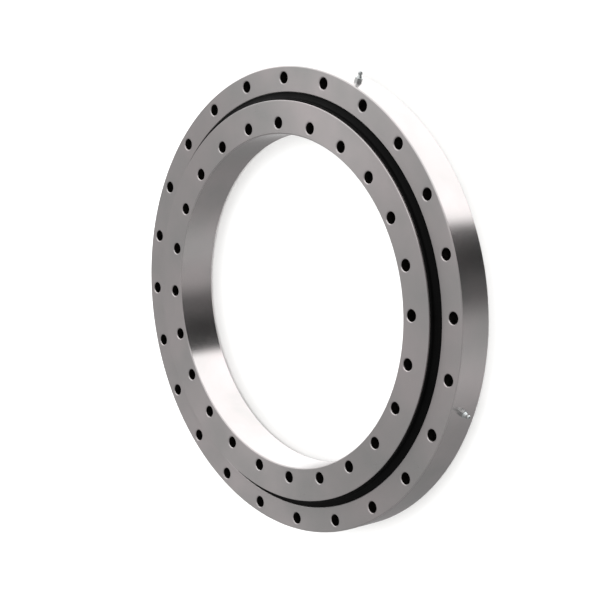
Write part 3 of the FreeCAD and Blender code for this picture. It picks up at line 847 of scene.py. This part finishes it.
def paint_ring(piece, circle_radius):
    """Gives a ring's upright walls their own finish, and its bolt holes the one painted dark as
    their shade.
    """
    wall_slot = len(piece.data.materials)
    hole_slot = wall_slot + 1
    piece.data.materials.append(wall_steel)
    # The holes' finish is painted dark, a painted shade for their inside.
    piece.data.materials.append(painted_shade_hole_steel)
    for face in piece.data.polygons:
        x, y = face.center.x, face.center.y
        hole = math.floor(math.atan2(y, x) / bolt_pitch) + 0.5
        centre = Vector((math.cos(hole * bolt_pitch), math.sin(hole * bolt_pitch))) * circle_radius
        if (Vector((x, y)) - centre).length < bolt_hole_radius + 0.02 * MM:
            face.material_index = hole_slot
        elif abs(face.normal.z) < 0.3:
            face.material_index = wall_slot
    slots = [face.material_index for face in piece.data.polygons]
    print(f"{piece.name}: {slots.count(wall_slot)} wall faces, {slots.count(hole_slot)} in holes")


print("lathe bands beside the bolt sectors in mm:", face_band / MM)

# %% [markdown]
# The outer ring's rim stands alone on one side. On the other the chain goes down from the top face
# over the seal seat, through the raceway and the lower seal's groove.

# %% Outer ring
rim_inside = rim_radius - rim_chamfer
seat_outside = seal_seat_radius + land_chamfer
outer_band = (seat_outside + face_band, rim_inside - face_band)
rim_chain = rounded_chain(
    [
        (outer_band[1], outer_bottom),
        (rim_inside, outer_bottom),
        (rim_radius, outer_bottom + rim_chamfer),
        (rim_radius, outer_bottom + 18 * MM),
        (rim_radius, outer_bottom + 38 * MM),
        (rim_radius, outer_top - rim_chamfer),
        (rim_inside, outer_top),
        (outer_band[1], outer_top),
    ],
    edge_round,
)
seat_edge = [
    (outer_band[0], outer_top),
    (seat_outside, outer_top),
    (seal_seat_radius, outer_top - land_chamfer),
    (seal_seat_radius, seal_seat_floor),
    (outer_land, seal_seat_floor),
]
groove_floor, groove_roof, groove_wall = bottom_groove
lower_edge = [
    (outer_land, groove_roof),
    (groove_wall, groove_roof),
    (groove_wall, groove_floor),
    (outer_land, groove_floor),
    (outer_land, outer_bottom + land_chamfer),
    (outer_land + land_chamfer, outer_bottom),
    (outer_band[0], outer_bottom),
]
outer_ring_wall = (
    rounded_chain(seat_edge, edge_round) + raceway(1) + rounded_chain(lower_edge, edge_round)
)
outer_ring, *helpers = ring_piece(
    "outer_ring_turned",
    rim_chain,
    outer_ring_wall,
    outer_band,
    (outer_bottom, outer_top),
    outer_circle,
)
print("points in its two walls:", len(rim_chain), "and", len(outer_ring_wall))

# %% [markdown]
# Its bores follow, each a drill with two ends. The drills stand out of the metal a little, so that
# no end lies on a surface.

# %% The outer ring's bores
low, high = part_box("load_plug_pin")
pin_place = math.hypot(low.x + high.x, low.y + high.y) / 2
pin_hole_radius = (high.x - low.x) / 2 + 0.05 * MM
load_hole_radius, nipple_hole_radius, duct_radius = 13 * MM, 5 * MM, 2.5 * MM
outside, below = rim_radius + 5 * MM, outer_bottom - 5 * MM
nipple_hole_end = rim_radius - 12 * MM
lying, upright = math.pi / 2, 0.0
for count, angle, tilt, radius, start, end in (
    (1, plug_angle, lying, load_hole_radius, outer_land - 0.4 * MM, outside),
    (nipple_count, 0.0, lying, nipple_hole_radius, nipple_hole_end, outside),
    (nipple_count, 0.0, lying, duct_radius, outer_land + 4 * MM, nipple_hole_end + 2 * MM),
    (1, plug_angle, upright, pin_hole_radius, below, high.z),
):
    middle = (start + end) / 2
    add_tree(
        outer_ring,
        bores,
        count=count,
        first_angle=angle,
        tilt=tilt,
        radius=radius,
        depth=end - start,
        from_axis=middle if tilt == lying else pin_place,
        height=ball_height if tilt == lying else middle,
        material=face_steel,
    )
make_plain(outer_ring)
paint_ring(outer_ring, outer_circle)
discard(*helpers)
place_piece(outer_ring, "outer_race", "ring_steel", "outer_ring")

# %% [markdown]
# The inner ring stands proud at the top. Its outer wall carries the other half of the raceway and
# a small groove for the seal's heel.

# %% Inner ring
bore_outside = bore_radius + rim_chamfer
land_inside = inner_land - land_chamfer
inner_band = (bore_outside + face_band, land_inside - face_band)
bore_chain = rounded_chain(
    [
        (inner_band[0], inner_top),
        (bore_outside, inner_top),
        (bore_radius, inner_top - rim_chamfer),
        (bore_radius, inner_bottom + rim_chamfer),
        (bore_outside, inner_bottom),
        (inner_band[0], inner_bottom),
    ],
    edge_round,
)
foot_edge = [
    (inner_band[1], inner_bottom),
    (land_inside, inner_bottom),
    (inner_land, inner_bottom + land_chamfer),
    (inner_land, inner_bottom + 6 * MM),
]
proud_edge = [
    (inner_land, heel_bottom),
    (inner_land - heel_depth, heel_bottom),
    (inner_land - heel_depth, heel_top),
    (inner_land, heel_top),
    (inner_land, inner_top - land_chamfer),
    (land_inside, inner_top),
    (inner_band[1], inner_top),
]
inner_ring_wall = (
    rounded_chain(foot_edge, edge_round) + raceway(-1) + rounded_chain(proud_edge, edge_round)
)
inner_ring, *helpers = ring_piece(
    "inner_ring_turned",
    inner_ring_wall,
    bore_chain,
    inner_band,
    (inner_bottom, inner_top),
    inner_circle,
)
make_plain(inner_ring)
paint_ring(inner_ring, inner_circle)
discard(*helpers)
place_piece(inner_ring, "inner_race", "ring_steel", "inner_ring")

# %% [markdown]
# ## Seals
#
# The top seal is a rubber sheath pulled round the proud wall. Its heel snaps into the groove, and
# its lip flares out over the gap and stops just short of the outer ring's seat. Rubber has no sharp
# corners, so its section is rounded much more than the steel. The bottom seal sits in the outer
# ring and points inwards.


# %% Seals
def turned_piece(name, chain, material, steps=RING_STEPS):
    """A closed section, turned on the lathe."""
    piece = section_object(name, chain)
    add_tree(piece, lathe, steps=steps, material=material)
    return make_plain(piece)


def closed(corners, radius):
    """A rounded closed section: the chain starts and ends in the middle of its first side."""
    middle = tuple((Vector(corners[0]) + Vector(corners[-1])) / 2)
    return rounded_chain([middle, *corners, middle], radius, steps=3)


play = 0.1 * MM
lip_tip = seal_seat_radius - 0.3 * MM
lip_top = outer_top - play
sheath = inner_land + 2.2 * MM
sheath_top = heel_top + 3.2 * MM
top_seal_section = [
    (inner_land, outer_top - 3 * MM),
    (inner_land + 4.5 * MM, outer_top - 3 * MM),
    (lip_tip - 0.3 * MM, lip_top - 1.5 * MM),
    (lip_tip, lip_top - 0.5 * MM),
    (lip_tip - 0.5 * MM, lip_top),
    (lip_tip - 2.6 * MM, lip_top + play),
    (inner_land + 5.4 * MM, lip_top + 1.5 * MM),
    (sheath + 0.6 * MM, heel_bottom - 0.6 * MM),
    (sheath, heel_bottom + 1.4 * MM),
    (sheath, sheath_top - 0.9 * MM),
    (sheath - 0.9 * MM, sheath_top),
    (inner_land, sheath_top),
    (inner_land, heel_top - play),
    (inner_land - heel_depth + play, heel_top - play),
    (inner_land - heel_depth + play, heel_bottom + play),
    (inner_land, heel_bottom + play),
]
top_seal = turned_piece("top_seal_rubber", closed(top_seal_section, 0.8 * MM), seal_rubber)
place_piece(top_seal, "inner_race", "seal_rubber", "top_seal")

bottom_lip = inner_land + 0.3 * MM
bottom_seal_section = [
    (groove_wall - play, groove_floor + play),
    (groove_wall - play, groove_roof - play),
    (outer_land, groove_roof - play),
    (bottom_lip, groove_floor + 3.2 * MM),
    (bottom_lip, groove_floor + 1.8 * MM),
    (outer_land, groove_floor + play),
]
bottom_seal = turned_piece("bottom_seal_rubber", closed(bottom_seal_section, 0.4 * MM), seal_rubber)
place_piece(bottom_seal, "outer_race", "seal_rubber", "bottom_seal")

# %% [markdown]
# ## The ball row
#
# Seventy balls and as many spacers fill the raceway. Both rows are one small piece repeated on a
# circle. The tree takes the piece, turns a copy to each place and makes it real.


# %% The row tree
def row_tree():
    inputs = [("Int", "Count"), ("Float", "First angle"), ("Material", "Material")]
    tree, given = new_tree("row", inputs)
    copies = around_the_axis(tree, given["Geometry"], given["Count"], given["First angle"])
    return finish_tree(tree, copies, given["Material"])


row = row_tree()
print("row nodes:", len(row.nodes))


# %% [markdown]
# The piece itself comes from the lathe, about its own axis, and is then moved to its place: a ball
# from half a circle, a spacer from a wall between two hollow ends that hold the balls apart.


# %% Balls and spacers
def small_turned(name, chain, material, steps, place):
    """Turns a section about Z, then moves the mesh by a matrix."""
    piece = turned_piece(name, chain, material, steps)
    piece.data.transform(place)
    return piece


def make_row(piece, count, first_angle, material):
    add_tree(piece, row, count=count, first_angle=first_angle, material=material)
    make_plain(piece)


half_pitch = math.pi / ball_count
ball_arc = arc((0, 0), ball_radius, -90, 90, 14)
ball_place = Matrix.Translation((ball_circle_radius, 0, ball_height))
balls = small_turned("ball_row", ball_arc, ball_steel, 28, ball_place)
make_row(balls, ball_count, 0.0, ball_steel)
place_piece(balls, "ball_train", "ball_steel", "balls")

to_ball = ball_circle_radius * math.sin(half_pitch)
seat_radius = ball_radius + 0.15 * MM
spacer_radius, spacer_hole = 10 * MM, 3 * MM
rim_angle = math.degrees(math.acos(spacer_radius / seat_radius))
hole_angle = math.degrees(math.acos(spacer_hole / seat_radius))
spacer_chain = arc((0, -to_ball), seat_radius, hole_angle, rim_angle, 4)
spacer_chain += arc((0, to_ball), seat_radius, -rim_angle, -hole_angle, 4)
spacer_chain.append(spacer_chain[0])
middle_radius = ball_circle_radius * math.cos(half_pitch)
along_the_row = Matrix.Rotation(-math.pi / 2, 4, "X")
spacer_place = Matrix.Translation((middle_radius, 0, ball_height)) @ along_the_row
spacers = small_turned("spacer_row", spacer_chain, spacer_nylon, 24, spacer_place)
make_row(spacers, ball_count, half_pitch, spacer_nylon)
place_piece(spacers, "ball_train", "spacer_nylon", "spacers")

# %% [markdown]
# ## Grease nipples
#
# Four nipples stand on the rim, midway between bolt holes. The hexagon is built from loops of
# points whose radius follows the flats.


# %% The nipple's hexagon
def hexagon_piece(name, flats, height):
    """A hexagon with chamfered corners at its upper end, its foot at z = 0."""
    steps = 72
    angles = [math.tau * step / steps for step in range(steps)]
    corner_start = flats / 2 * 0.97
    inner = 3 * MM
    slope = math.tan(math.radians(30))

    def reach(angle):
        from_flat = (angle + math.pi / 6) % (math.pi / 3) - math.pi / 6
        return flats / 2 / math.cos(from_flat)

    def loop(radius_of, height_of):
        return [
            (radius_of(a) * math.cos(a), radius_of(a) * math.sin(a), height_of(a)) for a in angles
        ]

    def shoulder(angle):
        return height - max(0.0, reach(angle) - corner_start) * slope

    loops = [
        loop(lambda a: inner, lambda a: 0.0),
        loop(reach, lambda a: 0.0),
        loop(reach, shoulder),
        loop(lambda a: corner_start, lambda a: height),
        loop(lambda a: inner, lambda a: height),
    ]
    return looped_object(name, loops, closed_tube=True)


hexagon_height = 5.5
hexagon = hexagon_piece("hexagon", 11 * MM, hexagon_height * MM)
hexagon.data.materials.append(nipple_zinc)
print("hexagon faces:", len(hexagon.data.polygons))

# %% [markdown]
# The turned body's section is written in millimetres, as on a drawing, with its foot in the ring
# and its zero where the hexagon sits on the rim. The two meshes are joined, and the row tree copies
# them to the four places.

# %% The nipple's body, and the row of nipples
foot, top = -8, 15
crest, root, neck, head, mouth, chamber, duct = 4.95, 4.45, 2.6, 3.3, 1.1, 2.0, 1.2
thread = [
    point
    for height in range(7)
    for point in ((crest, foot + 0.6 + height), (root, foot + 1.1 + height))
]
nipple_section = [
    *[(duct, foot), (crest - 1, foot), *thread, (crest, -0.2), (crest, hexagon_height - 0.3)],
    *[(4.5, hexagon_height), (neck, 9.5), (neck, 9.9), (head, 10.6), (head, 13.2), (2.5, top)],
    *[(mouth, top), (mouth, top - 1.3), (chamber, top - 2.6), (chamber, foot + 1)],
    *[(duct, foot + 1), (duct, foot)],
]
nipple_chain = [(radius * MM, height * MM) for radius, height in nipple_section]
nipple_chain = rounded_chain(nipple_chain, 0.12 * MM, 1)
to_rim = Matrix.Translation((rim_radius, 0, ball_height)) @ Matrix.Rotation(math.pi / 2, 4, "Y")
nipples = small_turned("grease_nipples", nipple_chain, nipple_zinc, 40, to_rim)
hexagon.data.transform(to_rim)
with bpy.context.temp_override(
    active_object=nipples, selected_editable_objects=[nipples, hexagon]
):
    bpy.ops.object.join()
make_row(nipples, nipple_count, 0.0, nipple_zinc)
nipple_numbers = range(1, nipple_count + 1)
nipple_nodes = [f"grease_nipple_{number}" for number in nipple_numbers]
place_piece(nipples, "outer_race", "nipple_zinc", *nipple_nodes)

# %% [markdown]
# ## Check springs
#
# Behind the ball in each nipple sits a small compression spring, a helix of drawn wire. A circle
# swept along a spiral gives the coil. It rests on the nipple's foot and shortens when a grease gun
# pushes the ball in.


# %% The springs
def spring_tree():
    inputs = [("Float", name) for name in ("Length", "Coil radius", "Wire radius", "Turns")]
    tree, given = new_tree("coil_spring", inputs + [("Material", "Material")])
    inputs = {
        "Resolution": 24,
        "Rotations": given["Turns"],
        "Start Radius": given["Coil radius"],
        "End Radius": given["Coil radius"],
        "Height": given["Length"],
    }
    helix = add(tree, "GeometryNodeCurveSpiral", inputs)
    inputs = {"Resolution": 8, "Radius": given["Wire radius"]}
    wire = add(tree, "GeometryNodeCurvePrimitiveCircle", inputs)
    inputs = {"Curve": helix, "Profile Curve": wire, "Fill Caps": True}
    return finish_tree(tree, add(tree, "GeometryNodeCurveToMesh", inputs), given["Material"])


coil_spring = spring_tree()
wire_radius = 0.2 * MM
low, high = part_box("nipple_spring_1")
spring_length = high.x - low.x
laid = Matrix.Rotation(math.pi / 2, 4, "Y")
start = Matrix.Translation((low.x + wire_radius, 0, ball_height))
for number in nipple_numbers:
    spring = new_object(f"nipple_spring_coil_{number}", [])
    add_tree(
        spring,
        coil_spring,
        length=spring_length - 2 * wire_radius,
        coil_radius=(high.z - low.z) / 2 - wire_radius,
        wire_radius=wire_radius,
        turns=12.5,
        material=wire_steel,
    )
    make_plain(spring)
    quarter = Matrix.Rotation((number - 1) * math.tau / nipple_count, 4, "Z")
    spring.data.transform(quarter @ start @ laid)
    place_piece(spring, "outer_race", "spring_steel", f"nipple_spring_{number}")
    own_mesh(spring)

# %% [markdown]
# ## Finishes for the construction nodes that stay
#
# The balls go in through a hole in the rim, which a plug closes. The plug's inner end is a piece of
# the raceway, and a threaded hole in its outer end takes the puller. The taper pin that locks it
# shows only from below. The check balls sit inside the nipples. The construction shapes of all
# these are right as they are, so they only get a finish.


# %% Finish the remaining nodes
def give_finish(node_name, material):
    node = frame["nodes"][node_name]
    node.data.materials.clear()
    node.data.materials.append(material)


give_finish("load_plug", plug_steel)
give_finish("load_plug_pin", pin_steel)
for number in nipple_numbers:
    give_finish(f"nipple_ball_{number}", ball_steel)
print("finished nodes keep their shape")
